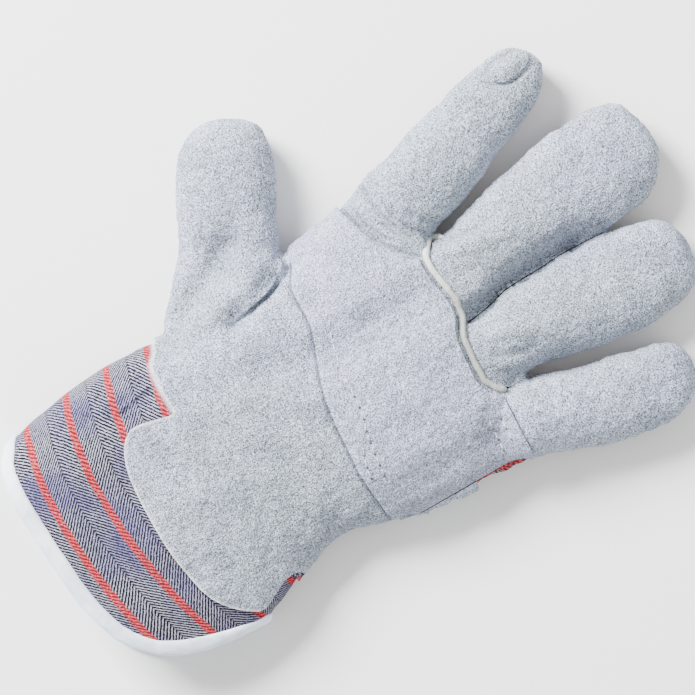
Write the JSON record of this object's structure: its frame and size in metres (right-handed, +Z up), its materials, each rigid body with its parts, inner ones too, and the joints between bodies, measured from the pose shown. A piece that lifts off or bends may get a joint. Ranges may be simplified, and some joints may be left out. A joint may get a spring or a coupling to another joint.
{
  "type": "rigger glove",
  "caption": "Left-hand rigger work glove lying palm up: split leather front with a doubled palm, striped canvas back and an open bound cuff.",
  "frame": {"origin": "centre of the bounding box's bottom, on the surface that the glove lies on", "axes": "+Y to the fingertips, +Z up out of the palm, +X to the little finger"},
  "size_m": [0.1798, 0.2692, 0.0326],
  "materials": {
    "leather": "suede split leather",
    "patch_leather": "suede split leather",
    "canvas": "striped herringbone canvas",
    "tape": "woven binding tape",
    "piping": "pale piping"
  },
  "bodies": {
    "root": {"palm_panel": "leather", "two_finger_panel": "leather", "finger_welt": "piping", "palm_patch": "patch_leather", "index_tip": "leather", "back_panel": "canvas", "thumb_back": "leather", "knuckle_strap": "leather", "cuff": "canvas", "cuff_binding": "tape"}
  },
  "joints": []
}
